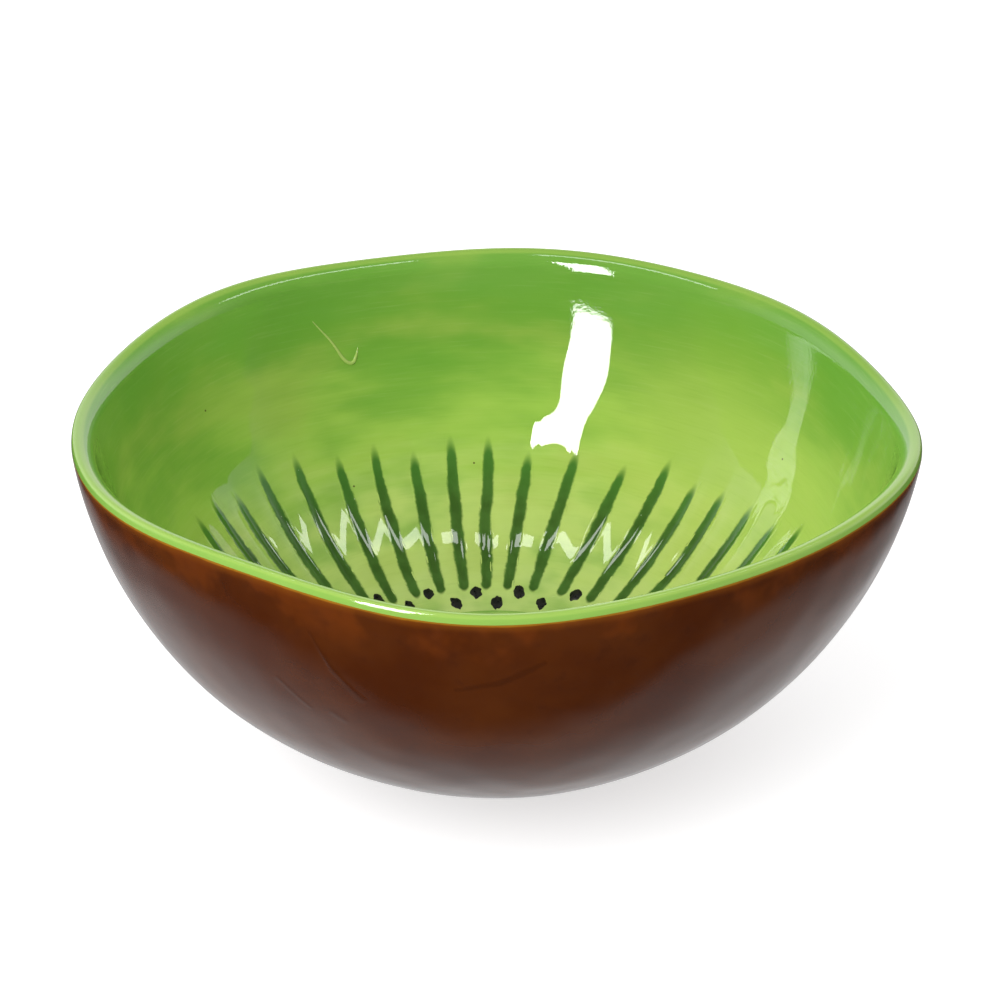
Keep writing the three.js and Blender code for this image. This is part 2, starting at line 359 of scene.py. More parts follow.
def brown_relief(radius, angle, height):
    """Soft lumps and finger hollows, fading out towards the foot and the seam."""
    spot = spot_at(radius, angle, height)
    lump = BROWN_LUMP * (noise.noise(spot / 16) + noise.noise(spot / 34 + Vector((7, 3, 5))) - 1)
    for bearing, level, reach, depth in HOLLOWS:
        off = (angle - math.radians(bearing) + math.pi) % (2 * math.pi) - math.pi
        lump -= depth * math.exp(-((off * radius) ** 2 * 0.5 + (height - level) ** 2 * 2) / reach ** 2)
    return max(lump, -DEEPEST_HOLLOW) * rise(height, 2, 10) * rise(height, 66, 56)


def under_brown(radius, height, looks_out):
    return looks_out and radius > FOOT_RADIUS and BARE_FOOT_EDGE < height < SEAM_HEIGHT


brown_coat = coat_of(thrown_form, "brown_coat", under_brown, BROWN_COAT)
shape_face(brown_coat, True, brown_relief)
press_by_hand(brown_coat)


def vector_node(tree, operation, *values):
    """One sum with places in a material; each value is a vector or a socket."""
    node = new_node(tree, "ShaderNodeVectorMath", operation=operation)
    feed(tree, node.inputs, values)
    return node.outputs


def near_line(tree, place, start, end, width, stray):
    """1 on the line between two points, 0 from its width on, with a ragged edge; sizes are in mm."""
    line = (Vector(end) - Vector(start)) * MM
    away = vector_node(tree, "SUBTRACT", place, Vector(start) * MM)["Vector"]
    along = vector_node(tree, "DOT_PRODUCT", away, line / line.length_squared)["Value"]
    share = math_node(tree, "MINIMUM", math_node(tree, "MAXIMUM", along, 0.0), 1.0)
    foot_point = new_node(tree, "ShaderNodeVectorMath", operation="SCALE")
    foot_point.inputs[0].default_value = line
    tree.links.new(share, foot_point.inputs["Scale"])
    gap = vector_node(tree, "DISTANCE", away, foot_point.outputs["Vector"])["Value"]
    return step_node(tree, math_node(tree, "MULTIPLY_ADD", stray, MM, gap), width * MM, 0.0)


def thrown_height(tree):
    return new_node(tree, "ShaderNodeAttribute", attribute_name="thrown_height").outputs["Fac"]


brown_finish, tree, shader = new_finish("brown_glaze")
place = own_place(tree)
thrown = thrown_height(tree)
cloud = noise_node(tree, place, 45, 3)
mottle = noise_node(tree, place, 230, 4, 0.6)
ragged = math_node(tree, "MULTIPLY_ADD", noise_node(tree, place, 160, 3), 5.0, -2.5)
brown = mix_node(tree, step_node(tree, cloud, 0.35, 0.7), DEEP_BROWN, WARM_BROWN)
brown = mix_node(tree, step_node(tree, mottle, 0.55, 0.8, 0, 0.5), brown, MOTTLED_BROWN)
blotch = step_node(tree, noise_node(tree, place, 75, 3, 0.6), 0.46, 0.62)
high_up = step_node(tree, math_node(tree, "ADD", thrown, ragged), 58.0, 66.0)
thin = times(tree, blotch, high_up)
brown = mix_node(tree, times(tree, thin, 0.45), brown, THIN_BROWN)
stray = times(tree, ragged, 0.35)
runs = 0.0
for start, end, width in BROWN_RUNS:
    runs = math_node(tree, "MAXIMUM", near_line(tree, place, start, end, width, stray), runs)
brown = mix_node(tree, times(tree, runs, 0.32), brown, RUN_BROWN)
glow = step_node(tree, math_node(tree, "MULTIPLY_ADD", ragged, 0.2, thrown), 66.9, 68.9, 0, 0.6)
brown = mix_node(tree, glow, brown, SEAM_GLOW)
edge = step_node(tree, math_node(tree, "MULTIPLY_ADD", ragged, 0.1, thrown), 68.4, 68.8)
brown = mix_node(tree, times(tree, edge, 0.7), brown, SEAM_EDGE)
tree.links.new(brown, shader.inputs["Base Color"])
tree.links.new(step_node(tree, mottle, 0.3, 0.7, 0.1, 0.17), shader.inputs["Roughness"])
shader.inputs["IOR"].default_value = 1.52
swells = noise_node(tree, place, 60, 1, 0.5)
uneven = math_node(tree, "MULTIPLY_ADD", swells, 2.4, times(tree, mottle, 0.03))
bump_node(tree, math_node(tree, "MULTIPLY_ADD", runs, 0.16, uneven), 1.0, 0.0002, shader)
finish(brown_coat, "outer_glaze", brown_finish)

# Coat under the foot
# The same brown glaze, brushed on the recess inside the foot ring. It stops just short of the ring, whose
# clay was wiped clean so that the bowl didn't stick to the kiln's shelf.
BASE_COAT = 0.35


def under_base(radius, height, looks_out):
    return radius < RECESS_RADIUS - 0.2 and height < RECESS_HEIGHT + 0.1


base_coat = coat_of(thrown_form, "base_coat", under_base, BASE_COAT)
bpy.data.objects.remove(thrown_form)
press_by_hand(base_coat)
finish(base_coat, "base_glaze", brown_finish)

# Green coat
# The green glaze over the lip and the whole inside, brushed on round the bowl in several thin layers, so it
# is streaked along the rim and paler where it ran thin. It swells in a low pillow between two strokes.
GREEN_COAT = 0.4
GREEN_STEPS = 616
STROKES = 44
STROKE_TOP_RADIUS = 61.6
STROKE_FOOT_RADIUS = 35.6
STROKE_LEAN = 2.1
STROKE_SWING = ((2, 1.1, 114), (4, 1.4, 68), (6, 1.3, 2))
FIRST_STROKE_ANGLE = 89.1
STROKE_DRIFT = ((3, 1.45, 101), (6, 1.0, 22), (8, 0.6, 1), (10, 0.6, 4))
STROKE_REACH = ((2, 1.6, 160), (9, 0.6, 14), (18, 0.9, 15))
BROAD_LUMP = 0.16
FINE_LUMP = 0.07
PILLOW = 0.3
PILLOW_FOOT = (30, 36)
PILLOW_HEAD = (67, 57)
GROOVE_SHARE = 0.17
CURVE_PLACES = 600
GREEN_UP_THE_WALL = (
    (0.06, (0.62, 0.75, 0.26)),
    (0.3, (0.57, 0.73, 0.19)),
    (0.52, (0.38, 0.61, 0.09)),
    (0.8, (0.18, 0.4, 0.045)),
    (0.95, (0.19, 0.42, 0.06)),
)
DEEP_GREEN = (0.13, 0.37, 0.035)
OLIVE_GREEN = (0.42, 0.55, 0.1)
PALE_PATCH_CENTRE = (0.046, 0.048, 0.036)
PALE_PATCH_GREEN = (0.48, 0.62, 0.1)
PAINTED_LIGHT_GREEN = (0.56, 0.72, 0.16)
PALE_HAIR = (0.56, 0.66, 0.24)
DARK_HAIR = (0.16, 0.37, 0.03)
LIP_GREEN = (0.36, 0.56, 0.1)
FRONT_LIP_HIGHLIGHT_GREEN = (0.46, 0.66, 0.15)
IRON_DOT = (0.06, 0.03, 0.01)
GLAZE_IOR = 1.75

inside_places = []
for curve in (wall_curve, lip_to_wall):
    for step in range(CURVE_PLACES):
        rows = split(curve, 1 - step / CURVE_PLACES)
        climb = (rows[2][0] - rows[2][1]).normalized()
        inside_places.append((rows[3][0].x, rows[3][0].y, -climb.y, climb.x))
inside_radii = [place[0] for place in inside_places]


def on_clay_inside(radius):
    """Height of the clay's inside at a radius, and its way up as a radial and an upright share."""
    after = min(max(bisect.bisect(inside_radii, radius), 1), len(inside_radii) - 1)
    near, far = inside_places[after - 1], inside_places[after]
    share = (radius - near[0]) / (far[0] - near[0])
    return [a + (b - a) * share for a, b in zip(near, far)][1:]


def stroke_angle(index):
    even = math.radians(FIRST_STROKE_ANGLE + 360 / STROKES * index)
    return even + math.radians(wave(STROKE_DRIFT, even))


def stroke_turn(top):
    """How far a stroke that starts at an angle turns on its way down."""
    return math.radians(STROKE_LEAN + wave(STROKE_SWING, top))


stroke_angles = [stroke_angle(index) for index in range(STROKES)]
stroke_tops = [STROKE_TOP_RADIUS + wave(STROKE_REACH, angle) for angle in stroke_angles]
sorted_angles = sorted(angle % (2 * math.pi) for angle in stroke_angles)


def green_relief(radius, angle, height):
    """Brush layers and finger marks all over, and a soft pillow of glaze between every two strokes."""
    spot = spot_at(radius, angle, height)
    lump = BROAD_LUMP * noise.noise(spot / 19 + Vector((3, 8, 1))) + FINE_LUMP * noise.noise(spot / 9)
    lump *= max(0.2, rise(height, 66, 58)) * (1 - 0.85 * rise(radius, 66, 56))
    down = rise(radius, STROKE_TOP_RADIUS, STROKE_FOOT_RADIUS)
    top = angle
    for _ in range(3):
        top = angle - stroke_turn(top) * down
    top %= 2 * math.pi
    after = bisect.bisect_left(sorted_angles, top) % STROKES
    before_angle, after_angle = sorted_angles[after - 1], sorted_angles[after]
    pitch = (after_angle - before_angle) % (2 * math.pi)
    share = ((top - before_angle) % (2 * math.pi)) / pitch
    share = min(share, 1 - share)
    if share < GROOVE_SHARE:
        swell = 2 * share * share / GROOVE_SHARE
    else:
        swell = 0.5 - 2 * (0.5 - share) ** 2 / (1 - 2 * GROOVE_SHARE)
    reach = rise(radius, *PILLOW_FOOT) * rise(radius, *PILLOW_HEAD)
    return lump + 2 * PILLOW * swell * reach * reach * (3 - 2 * reach)


def under_green(radius, height, looks_out):
    return not looks_out or height > SEAM_HEIGHT


inside_face = draw_section("green_coat_face", [
    (LIP_OUTER, 5), *zip(lip_inner, (5, 4, 6, 2)), (lip_to_wall, 20), (wall_curve, 36)])
turn_on_wheel(GREEN_STEPS)
green_coat = coat_of(inside_face, "green_coat", under_green, GREEN_COAT)
bpy.data.objects.remove(inside_face)
shape_face(green_coat, False, green_relief)
press_by_hand(green_coat)


def ramp_node(tree, value, stops):
    """A colour that changes with a value, through stops at given places."""
    node = new_node(tree, "ShaderNodeValToRGB")
    node.color_ramp.interpolation = "EASE"
    stones = node.color_ramp.elements
    while len(stones) < len(stops):
        stones.new(0.5)
    for stone, (place, colour) in zip(stones, stops):
        stone.position = place
        stone.color = (*colour, 1)
    tree.links.new(value, node.inputs["Fac"])
    return node.outputs["Color"]


def join_node(tree, *values):
    """A place made of up to three sums."""
    node = new_node(tree, "ShaderNodeCombineXYZ")
    feed(tree, node.inputs, values)
    return node.outputs["Vector"]


def apart_node(tree, place):
    """The X, Y and Z of a place."""
    node = new_node(tree, "ShaderNodeSeparateXYZ")
    tree.links.new(place, node.inputs["Vector"])
    return node.outputs


def dots(tree, place, scale, size, rarity):
    """Scattered round dots, with a soft edge between two sizes, in the few cells whose draw is rare enough."""
    cells = new_node(tree, "ShaderNodeTexVoronoi")
    cells.inputs["Scale"].default_value = scale
    tree.links.new(place, cells.inputs["Vector"])
    draw = new_node(tree, "ShaderNodeSeparateColor")
    tree.links.new(cells.outputs["Color"], draw.inputs["Color"])
    dot = step_node(tree, cells.outputs["Distance"], *size)
    return times(tree, dot, step_node(tree, draw.outputs["Red"], *rarity))


brushwork = bpy.data.node_groups.new("green_brushwork", "ShaderNodeTree")
for name, kind in (("Colour", "Color"), ("Streak", "Float"), ("Speck", "Float")):
    brushwork.interface.new_socket(name=name, in_out="OUTPUT", socket_type="NodeSocket" + kind)
tree = brushwork
place = own_place(tree)
thrown = thrown_height(tree)
apart = apart_node(tree, place)
flat = join_node(tree, apart["X"], apart["Y"])
round_way = apart_node(tree, vector_node(tree, "NORMALIZE", flat)["Vector"])
reach = vector_node(tree, "LENGTH", flat)["Value"]
climb = math_node(tree, "MULTIPLY_ADD", reach, 1 / MM, thrown)


def brushed(turns, rows):
    """A place that is drawn out round the bowl: so many features to the radian, and to the mm up the wall."""
    across = times(brushwork, round_way["X"], turns)
    onward = times(brushwork, round_way["Y"], turns)
    return join_node(brushwork, across, onward, times(brushwork, climb, rows))


broad = noise_node(tree, brushed(2.2, 0.06), 1, 3)
layer = noise_node(tree, brushed(3.5, 0.22), 1, 3)
hair = noise_node(tree, brushed(7, 1.6), 1, 5, 0.65)
level = math_node(tree, "MULTIPLY_ADD", layer, 16.0, math_node(tree, "ADD", thrown, -8.0))
colour = ramp_node(tree, times(tree, level, 1 / 72), GREEN_UP_THE_WALL)
colour = mix_node(tree, step_node(tree, broad, 0.42, 0.68, 0, 0.5), colour, DEEP_GREEN)
colour = mix_node(tree, step_node(tree, broad, 0.5, 0.28, 0, 0.4), colour, OLIVE_GREEN)
# A soft paler yellow-green patch on the right of the back wall.
from_pale_patch = vector_node(tree, "DISTANCE", place, PALE_PATCH_CENTRE)["Value"]
colour = mix_node(tree, step_node(tree, from_pale_patch, 0.038, 0.01, 0, 0.4), colour, PALE_PATCH_GREEN)
# Painted light: the inside on the right, below about 60 mm, is painted paler and yellower.
low_down = step_node(tree, apart["Z"], 0.062, 0.04)
painted_light_right = times(tree, step_node(tree, apart["X"], 0.01, 0.06, 0, 0.4), low_down)
colour = mix_node(tree, painted_light_right, colour, PAINTED_LIGHT_GREEN)
colour = mix_node(tree, step_node(tree, hair, 0.5, 0.8, 0, 0.13), colour, PALE_HAIR)
colour = mix_node(tree, step_node(tree, hair, 0.5, 0.25, 0, 0.12), colour, DARK_HAIR)
on_lip = step_node(tree, thrown, 69.7, 70.1)
colour = mix_node(tree, times(tree, on_lip, 0.6), colour, LIP_GREEN)
# Painted highlight: the outer edge of the lip at the front is painted paler.
in_front = step_node(tree, apart["Y"], -0.02, -0.05)
front_lip_highlight = times(tree, step_node(tree, reach, 0.0775, 0.0785, 0, 0.35), in_front)
colour = mix_node(tree, front_lip_highlight, colour, FRONT_LIP_HIGHLIGHT_GREEN)
iron_dots = dots(tree, place, 240, (0.07, 0.04), (0.955, 0.96))
colour = mix_node(tree, times(tree, iron_dots, 0.85), colour, IRON_DOT)
pits = dots(tree, place, 620, (0.11, 0.05), (0.9, 0.92))
grain = times(tree, noise_node(tree, place, 1500, 2), step_node(tree, thrown, 52.0, 62.0))
streak = math_node(tree, "MULTIPLY_ADD", hair, 0.07, grain)
out = new_node(tree, "NodeGroupOutput")
feed(tree, [out.inputs[name] for name in ("Colour", "Streak", "Speck")], (colour, streak, pits))


def brushed_green(tree):
    """The green brushwork in a material: its colour, its streaks and its burst bubbles."""
    return new_node(tree, "ShaderNodeGroup", node_tree=brushwork).outputs


def gloss(shader, roughness):
    """The shine of a clear, thick glaze."""
    shader.inputs["Roughness"].default_value = roughness
    shader.inputs["IOR"].default_value = GLAZE_IOR


green_finish, tree, shader = new_finish("green_glaze")
green = brushed_green(tree)
tree.links.new(green["Colour"], shader.inputs["Base Color"])
gloss(shader, 0.02)
bump_node(tree, green["Streak"], 1.0, 0.000012, shader)
finish(green_coat, "inner_glaze", green_finish)

# Core
# The pale heart of the fruit, a thin round pool of light glaze in the middle of the floor with a darker line
# of green painted just inside its edge. Its underside sinks a little into the coat below.
CORE_RADIUS = 30.5
CORE_COAT = 0.45
CORE_LIFT = 0.15
CORE_SINK = 0.1
CORE_EDGE = 2.6
CORE_STEPS = 132
CORE_RINGS = (0.5, *[0.8] * 4, *[3] * 8)
HEART_SHADE = (0.56, 0.62, 0.27)
HEART_LIGHT = (0.66, 0.68, 0.36)
HEART_RAY = (0.2, 0.42, 0.06)
CORE_LINE = (0.16, 0.38, 0.05)


def on_green(radius, angle, lift):
    """A point of the finished green face, in metres, before the hands pressed it, raised by a lift in mm."""
    height, outward, upward = on_clay_inside(radius)
    lift += GREEN_COAT + green_relief(radius, angle, height)
    return spot_at(radius + outward * lift, angle, height + upward * lift) * MM


bpy.ops.object.select_all(action="DESELECT")
bpy.ops.mesh.primitive_circle_add(vertices=CORE_STEPS, radius=CORE_RADIUS * MM, fill_type="TRIFAN")
core = bpy.context.object
core.name = "kiwi_core"
bpy.ops.object.mode_set(mode="EDIT")
bpy.ops.mesh.select_all(action="SELECT")
for ring in CORE_RINGS:
    bpy.ops.mesh.inset(thickness=ring * MM)
bpy.ops.mesh.select_all(action="SELECT")
bpy.ops.mesh.extrude_region_move(TRANSFORM_OT_translate={"value": (0, 0, MM)})
bpy.ops.mesh.select_all(action="SELECT")
bpy.ops.mesh.normals_make_consistent(inside=False)
bpy.ops.object.mode_set(mode="OBJECT")
for vertex in core.data.vertices:
    radius, angle, height = measure(vertex.co)
    inward = rise(radius, CORE_RADIUS, CORE_RADIUS - CORE_EDGE)
    crown = CORE_LIFT + CORE_COAT * math.sqrt(inward * (2 - inward))
    vertex.co = on_green(max(radius, 0.01), angle, crown if height > 0.5 else -CORE_SINK)
press_by_hand(core)

core_finish, tree, shader = new_finish("pale_core_glaze")
green = brushed_green(tree)
place = own_place(tree)
apart = apart_node(tree, place)
far = vector_node(tree, "LENGTH", join_node(tree, apart["X"], apart["Y"]))["Value"]
bearing = math_node(tree, "ARCTAN2", apart["Y"], apart["X"])
ripple = math_node(tree, "SINE", times(tree, bearing, STROKES))
ray = math_node(tree, "MULTIPLY_ADD", ripple, 0.5, 0.5)
cloud = noise_node(tree, place, 140, 3)
heart = mix_node(tree, step_node(tree, cloud, 0.35, 0.7), HEART_SHADE, HEART_LIGHT)
heart = mix_node(tree, step_node(tree, far, 0.010, 0.024), heart, green["Colour"])
rays = times(tree, step_node(tree, ray, 0.55, 0.95), step_node(tree, far, 0.008, 0.016, 0, 0.3))
rays = times(tree, rays, step_node(tree, far, 0.028, 0.024))
heart = mix_node(tree, rays, heart, HEART_RAY)
line = times(tree, step_node(tree, far, 0.0288, 0.0298), 0.7)
tree.links.new(mix_node(tree, line, heart, CORE_LINE), shader.inputs["Base Color"])
gloss(shader, 0.03)
bump_node(tree, cloud, 0.1, 0.0002, shader)
finish(core, "core_glaze", core_finish)

# Brush strokes
# Forty-four strokes of thick dark green, each laid in one pull from the wall down towards the seeds. They
# start thin and dry, swell in the middle and stand up from the coat as low rounded ridges with ragged edges.
STROKE_WIDTH = 2.1
STROKE_HALF_SHARE = 0.82
STROKE_RISE = 0.06
STROKE_SEAT = 0.03
STROKE_SINK = 0.12
STROKE_HEAD = 1.8
STROKE_TAIL = 0.4
STROKE_WOBBLE = 0.16
STROKE_BOW = 0.35
STROKE_ROWS = 64
STROKE_COLUMNS = 12
STROKE_DARK = (0.028, 0.095, 0.01)
STROKE_LIGHT = (0.048, 0.14, 0.02)
STROKE_DRY = (0.06, 0.23, 0.028)
STROKE_EDGE = (0.09, 0.25, 0.032)
BURST_BUBBLE = (0.55, 0.66, 0.4)


def one_for_each_stroke(first, label):
    """A piece and its copies, one for each stroke, named with their numbers."""
    first.name = label % 1
    return [first] + [copy_of(first, label % (index + 1)) for index in range(1, STROKES)]


bpy.ops.object.select_all(action="DESELECT")
bpy.ops.mesh.primitive_grid_add(
    x_subdivisions=STROKE_COLUMNS, y_subdivisions=STROKE_ROWS, size=1, calc_uvs=True)
first_stroke = bpy.context.object
bpy.ops.object.mode_set(mode="EDIT")
bpy.ops.mesh.select_all(action="SELECT")
bpy.ops.mesh.extrude_region_move(TRANSFORM_OT_translate={"value": (0, 0, 1)})
bpy.ops.mesh.select_all(action="SELECT")
bpy.ops.mesh.normals_make_consistent(inside=False)
bpy.ops.object.mode_set(mode="OBJECT")
stroke_sheet = [vertex.co.copy() for vertex in first_stroke.data.vertices]

stroke_finish, tree, shader = new_finish("stroke_paint")
green = brushed_green(tree)
across = apart_node(tree, new_node(tree, "ShaderNodeUVMap", uv_map="UVMap").outputs["UV"])
place = own_place(tree)
ragged = math_node(tree, "MULTIPLY_ADD", noise_node(tree, place, 500, 3, 0.6), 0.5, -0.25)
off = times(tree, math_node(tree, "ABSOLUTE", math_node(tree, "ADD", across["X"], -0.5)), 2.0)
body = step_node(tree, math_node(tree, "ADD", off, ragged), 0.9, 0.55)
worn = math_node(tree, "MULTIPLY_ADD", ragged, 0.1, math_node(tree, "POWER", off, 2.0))
tip = step_node(tree, math_node(tree, "MULTIPLY_ADD", worn, -0.07, across["Y"]), 0.0, 0.09)
foot = step_node(tree, math_node(tree, "MULTIPLY_ADD", worn, 0.05, across["Y"]), 0.995, 0.965)
cover = times(tree, body, times(tree, tip, foot))
cloud = noise_node(tree, place, 260, 3)
dark = mix_node(tree, step_node(tree, cloud, 0.35, 0.7), STROKE_DARK, STROKE_LIGHT)
dark = mix_node(tree, step_node(tree, across["Y"], 0.4, 0.0, 0, 0.7), dark, STROKE_DRY)
dark = mix_node(tree, step_node(tree, off, 0.3, 0.8, 0, 0.35), dark, STROKE_EDGE)
paint = mix_node(tree, times(tree, cover, 0.95), green["Colour"], dark)
paint = mix_node(tree, times(tree, green["Speck"], 0.5), paint, BURST_BUBBLE)
tree.links.new(paint, shader.inputs["Base Color"])
gloss(shader, 0.03)
bump_node(tree, ragged, 0.08, 0.0002, shader)

for index, stroke in enumerate(one_for_each_stroke(first_stroke, "brush_stroke_%02d")):
    start = stroke_tops[index] + STROKE_HEAD
    end = STROKE_FOOT_RADIUS - STROKE_TAIL
    turn = stroke_turn(stroke_angles[index])
    for vertex, sheet in zip(stroke.data.vertices, stroke_sheet):
        share = sheet.y + 0.5
        side = 2 * sheet.x
        swell = min(1, 0.7 + 1.2 * share, 1.5 - 0.68 * share)
        edge_place = Vector((share * 7, index * 3.7, math.copysign(1.5, side)))
        wobble = 1 + STROKE_WOBBLE * noise.noise(edge_place)
        bow = STROKE_BOW * noise.noise(Vector((share * 3, index * 5.3, 9)))
        half = STROKE_HALF_SHARE * STROKE_WIDTH * swell * wobble
        radius = start + (end - start) * share
        angle = stroke_angles[index] + turn * share + (side * half + bow) / radius
        dome = STROKE_RISE * swell * (1 - side * side) ** 2 * min(1, 8 * share, 8 * (1 - share))
        vertex.co = on_green(radius, angle, dome + STROKE_SEAT if sheet.z > 0.5 else -STROKE_SINK)
    press_by_hand(stroke)
    finish(stroke, "stroke_%02d" % (index + 1), stroke_finish)

# Seeds
# Black drops of thick glaze, one between the lower ends of every two strokes, in two wandering rows by turns.
# Each was dabbed on by hand, so they are flat, ragged ovals with a blunt point, no two quite alike.
SEED_LENGTH = 3.1
SEED_WIDTH = 2.5
SEED_RISE = 0.2
SEED_SEAT = 0.02
SEED_OUTER_ROW = 36.6
SEED_INNER_ROW = 34.1
SEED_SPREAD = ((3, 1.7, 150),)
SEED_FLATNESS = 0.4
SEED_ROUGH = 0.28
SEED_FRAY = 0.1
SEED_BLACK = (0.004, 0.004, 0.003)
SEED_CRUST = (0.018, 0.015, 0.009)

bpy.ops.object.select_all(action="DESELECT")
bpy.ops.mesh.primitive_uv_sphere_add(segments=36, ring_count=16, radius=0.5)
first_seed = bpy.context.object
bpy.ops.object.mode_set(mode="EDIT")
bpy.ops.mesh.select_all(action="SELECT")
bpy.ops.transform.resize(value=(1, 1, SEED_FLATNESS))
bpy.ops.object.mode_set(mode="OBJECT")
seed_form = [vertex.co.copy() for vertex in first_seed.data.vertices]

seed_finish, tree, shader = new_finish("seed_paint")
crust = noise_node(tree, own_place(tree), 1400, 3, 0.6)
black = mix_node(tree, step_node(tree, crust, 0.45, 0.7), SEED_BLACK, SEED_CRUST)
tree.links.new(black, shader.inputs["Base Color"])
tree.links.new(step_node(tree, crust, 0.3, 0.7, 0.25, 0.45), shader.inputs["Roughness"])
bump_node(tree, crust, 0.4, 0.0003, shader)

dabs = random.Random(44)
for index, seed in enumerate(one_for_each_stroke(first_seed, "seed_%02d")):
    after = stroke_angles[(index + 1) % STROKES] + (2 * math.pi if index == STROKES - 1 else 0)
    bearing = (stroke_angles[index] + after) / 2
    bearing += stroke_turn(bearing)
    row = (SEED_OUTER_ROW if index % 2 == 0 else SEED_INNER_ROW) + wave(SEED_SPREAD, bearing)
    turn = dabs.uniform(-0.5, 0.5)
    size = dabs.uniform(0.88, 1.05)
    for vertex, form in zip(seed.data.vertices, seed_form):
        edge = math.atan2(form.y, form.x)
        rough = 1 + SEED_ROUGH * noise.noise(spot_at(1.8, edge, index * 2.3))
        rough += SEED_FRAY * noise.noise(spot_at(8, edge, index * 4.1))
        pointed = 1 - 0.5 * max(0, -form.x * 2) ** 1.2
        long = form.x * SEED_LENGTH * size * rough
        wide = form.y * SEED_WIDTH * size * rough * pointed
        radius = row + long * math.cos(turn) - wide * math.sin(turn)
        sideways = long * math.sin(turn) + wide * math.cos(turn)
        lift = form.z / (0.5 * SEED_FLATNESS) * SEED_RISE + SEED_SEAT
        vertex.co = on_green(radius, bearing + sideways / radius, lift)
    press_by_hand(seed)
    finish(seed, "inner_glaze", seed_finish)

# Run of glaze
# One drop of the pale under-coat that ran down the back of the wall, turned up at its end and set there as a
# fine raised hook.
RUN_PATH = (
    (74.1, 120.6, 0.4), (73.5, 119.5, 0.6), (72.8, 118.2, 0.8), (72.0, 117.1, 1.0), (71.4, 116.4, 1.2),
    (71.0, 115.6, 1.4), (70.9, 114.8, 1.4), (71.3, 114.0, 1.1), (71.9, 113.4, 0.4),
)
RUN_THICKNESS = 0.3
RUN_SINK = 0.05
RUN_PALE = (0.56, 0.66, 0.2)

bpy.ops.object.select_all(action="DESELECT")
bpy.ops.curve.primitive_bezier_curve_add()
run = bpy.context.object
run.name = "glaze_run"
run.data.splines.clear()
run_line = run.data.splines.new("BEZIER")
run_line.resolution_u = 6
run_line.bezier_points.add(len(RUN_PATH) - 1)
for knot, (radius, degrees, thick) in zip(run_line.bezier_points, RUN_PATH):
    knot.co = on_green(radius, math.radians(degrees), -RUN_SINK)
    knot.handle_left_type = knot.handle_right_type = "AUTO"
    knot.radius = thick
run.data.bevel_depth = RUN_THICKNESS * MM
run.data.bevel_resolution = 4
run.data.use_fill_caps = True
bpy.ops.object.convert(target="MESH")
run = bpy.context.object
press_by_hand(run)

run_finish, tree, shader = new_finish("run_glaze")
green = brushed_green(tree)
tree.links.new(mix_node(tree, 0.55, green["Colour"], RUN_PALE), shader.inputs["Base Color"])
gloss(shader, 0.03)
finish(run, "inner_glaze", run_finish)

# Floor, lights and camera
# A white studio table and backdrop, a tall soft lamp before the bowl on the left and two strips overhead,
# seen through a long lens from a little above the rim. In reflections the table shows only a painted glow,
# brightest in a band behind the bowl and faint in front.
TABLE_SIZE = 8
TABLE_WHITE = (0.8, 0.8, 0.8, 1)
LIT_HALF_WIDTH = 0.06
ROOM_LIGHT = 0.52
ROOM_MIRRORED = 0.04
BACKDROP_LIGHT = 0.62
BACKDROP_MIRRORED = 0.94
BOWL_MIDDLE = (0, 0, 0.045)
EYE_CLIMB = math.radians(26.45)
EYE_DISTANCE = 0.64
LOOKS_AT = Vector((0.0012, 0, 0.0512))
LENS = 119.88

bpy.ops.object.select_all(action="DESELECT")
bpy.ops.mesh.primitive_plane_add(size=TABLE_SIZE)
table = bpy.context.object
table.name = "studio_table"
table_finish, tree, shader = new_finish("white_table")
shader.inputs["Base Color"].default_value = TABLE_WHITE
shader.inputs["Roughness"].default_value = 0.9
shader.inputs["Specular IOR Level"].default_value = 0.0
seen = new_node(tree, "ShaderNodeLightPath").outputs
place = own_place(tree)
far_out = vector_node(tree, "LENGTH", place)["Value"]
glow = new_node(tree, "ShaderNodeEmission")
bleached = times(tree, seen["Is Camera Ray"], step_node(tree, far_out, 0.1, 0.5, 0.6, 0.85))
tree.links.new(bleached, glow.inputs["Strength"])
pale_table = new_node(tree, "ShaderNodeAddShader")
feed(tree, pale_table.inputs, (shader.outputs["BSDF"], glow.outputs["Emission"]))
# Painted glow: seen in reflections, the table shines by itself, brightest in a band behind the bowl and faint
# in front.
apart = apart_node(tree, place)
from_middle = math_node(tree, "ABSOLUTE", apart["X"])
beyond_side = math_node(tree, "MAXIMUM", math_node(tree, "SUBTRACT", from_middle, LIT_HALF_WIDTH), 0.0)
beyond_front = math_node(tree, "MAXIMUM", times(tree, apart["Y"], -1.0), 0.0)
beyond = vector_node(tree, "LENGTH", join_node(tree, beyond_side, beyond_front))["Value"]
half_light = step_node(tree, beyond, 0.036, 0.066, 0.66, 0.32)
painted_glow = times(tree, half_light, step_node(tree, beyond, 0.085, 0.068, 0.1, 1))
mirrored = new_node(tree, "ShaderNodeEmission")
tree.links.new(painted_glow, mirrored.inputs["Strength"])
either = math_node(tree, "MAXIMUM", seen["Is Glossy Ray"], seen["Is Transmission Ray"])
blend = new_node(tree, "ShaderNodeMixShader")
feed(tree, blend.inputs, (either, pale_table.outputs["Shader"], mirrored.outputs["Emission"]))
tree.links.new(blend.outputs["Shader"], tree.nodes["Material Output"].inputs["Surface"])
table.data.materials.append(table_finish)

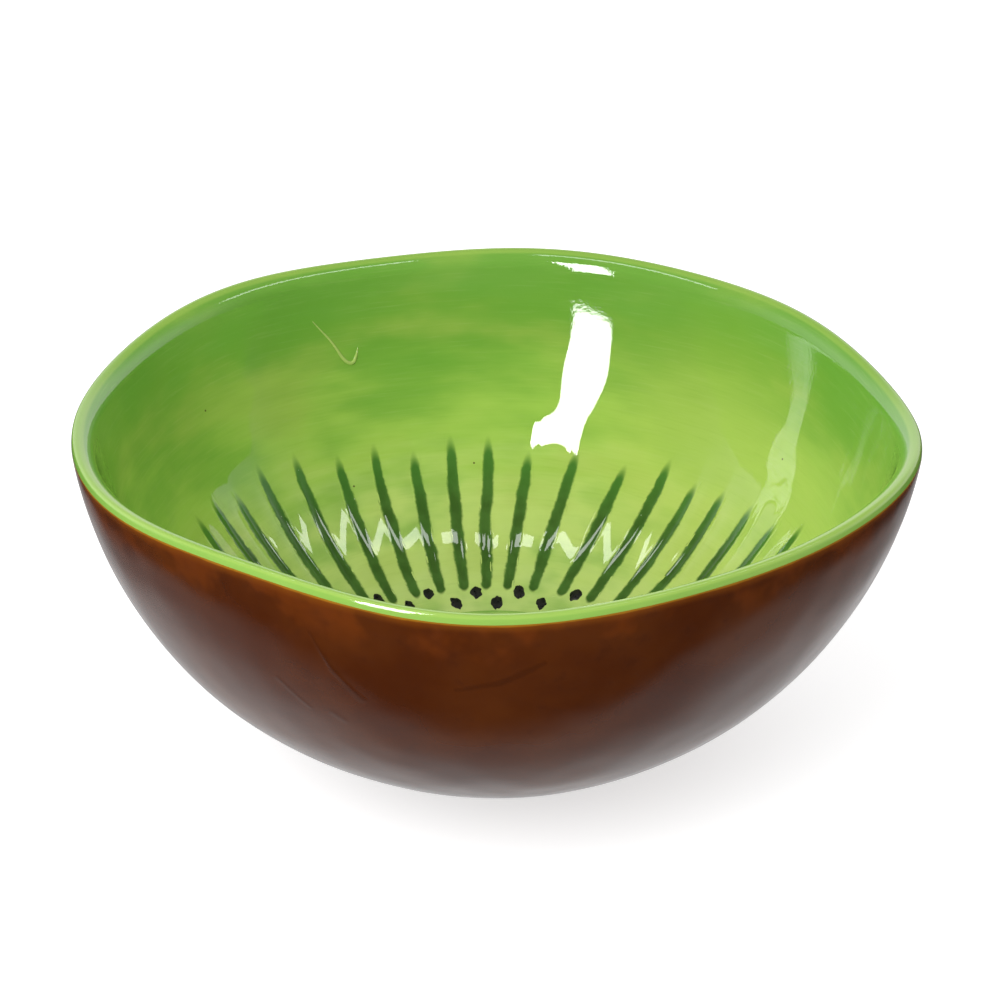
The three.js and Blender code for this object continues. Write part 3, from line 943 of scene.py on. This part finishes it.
world = bpy.data.worlds.new("white_studio")
bpy.context.scene.world = world
world.use_nodes = True
air = world.node_tree
backdrop = air.nodes["Background"]
backdrop.inputs["Color"].default_value = (1, 1, 1, 1)
seen = new_node(air, "ShaderNodeLightPath").outputs
apart = apart_node(air, new_node(air, "ShaderNodeTexCoord").outputs["Generated"])
behind = times(air, step_node(air, apart["Y"], -0.3, 0.5), step_node(air, apart["Z"], 0.75, 0.3))
mirror = seen["Is Glossy Ray"]
room = math_node(air, "MULTIPLY_ADD", mirror, ROOM_MIRRORED - ROOM_LIGHT, ROOM_LIGHT)
wall = math_node(air, "MULTIPLY_ADD", mirror, BACKDROP_MIRRORED - BACKDROP_LIGHT, BACKDROP_LIGHT)
dim = math_node(air, "MULTIPLY_ADD", behind, wall, room)
air.links.new(math_node(air, "MAXIMUM", seen["Is Camera Ray"], dim), backdrop.inputs["Strength"])


def soft_lamp(name, bearing, climb, wide, tall, watts, roll=0, aim=BOWL_MIDDLE):
    """A rectangular soft lamp a metre from its aim, at a bearing and a climb and with a roll, in degrees."""
    bpy.ops.object.light_add(type="AREA")
    lamp = bpy.context.object
    lamp.name = name
    lamp.data.shape = "RECTANGLE"
    lamp.data.size = wide
    lamp.data.size_y = tall
    lamp.data.energy = watts
    lamp.visible_camera = False
    tilt = math.radians(climb)
    way = spot_at(math.cos(tilt), math.radians(bearing), math.sin(tilt))
    lamp.location = Vector(aim) + way
    rolled = way.to_track_quat("Z", "Y") @ Quaternion((0, 0, 1), math.radians(roll))
    lamp.rotation_euler = rolled.to_euler()


soft_lamp("front_lamp", bearing=-121.5, climb=32.8, wide=0.22, tall=0.7, watts=6.8)
soft_lamp("top_strip_left", bearing=180, climb=67, wide=0.075, tall=0.61, watts=0.62, roll=-19,
          aim=(0, 0.03, 0.045))
soft_lamp("top_strip_right", bearing=0, climb=61, wide=0.075, tall=0.73, watts=0.7, roll=19,
          aim=(0, 0.035, 0.045))

bpy.ops.object.camera_add()
camera = bpy.context.object
camera.name = "photo_camera"
back = Vector((0, -math.cos(EYE_CLIMB), math.sin(EYE_CLIMB)))
camera.location = LOOKS_AT + back * EYE_DISTANCE
camera.rotation_euler = back.to_track_quat("Z", "Y").to_euler()
camera.data.sensor_width = 36
camera.data.lens = LENS
camera.data.clip_start = 0.01
bpy.context.scene.camera = camera
bpy.context.scene.view_settings.view_transform = "Standard"
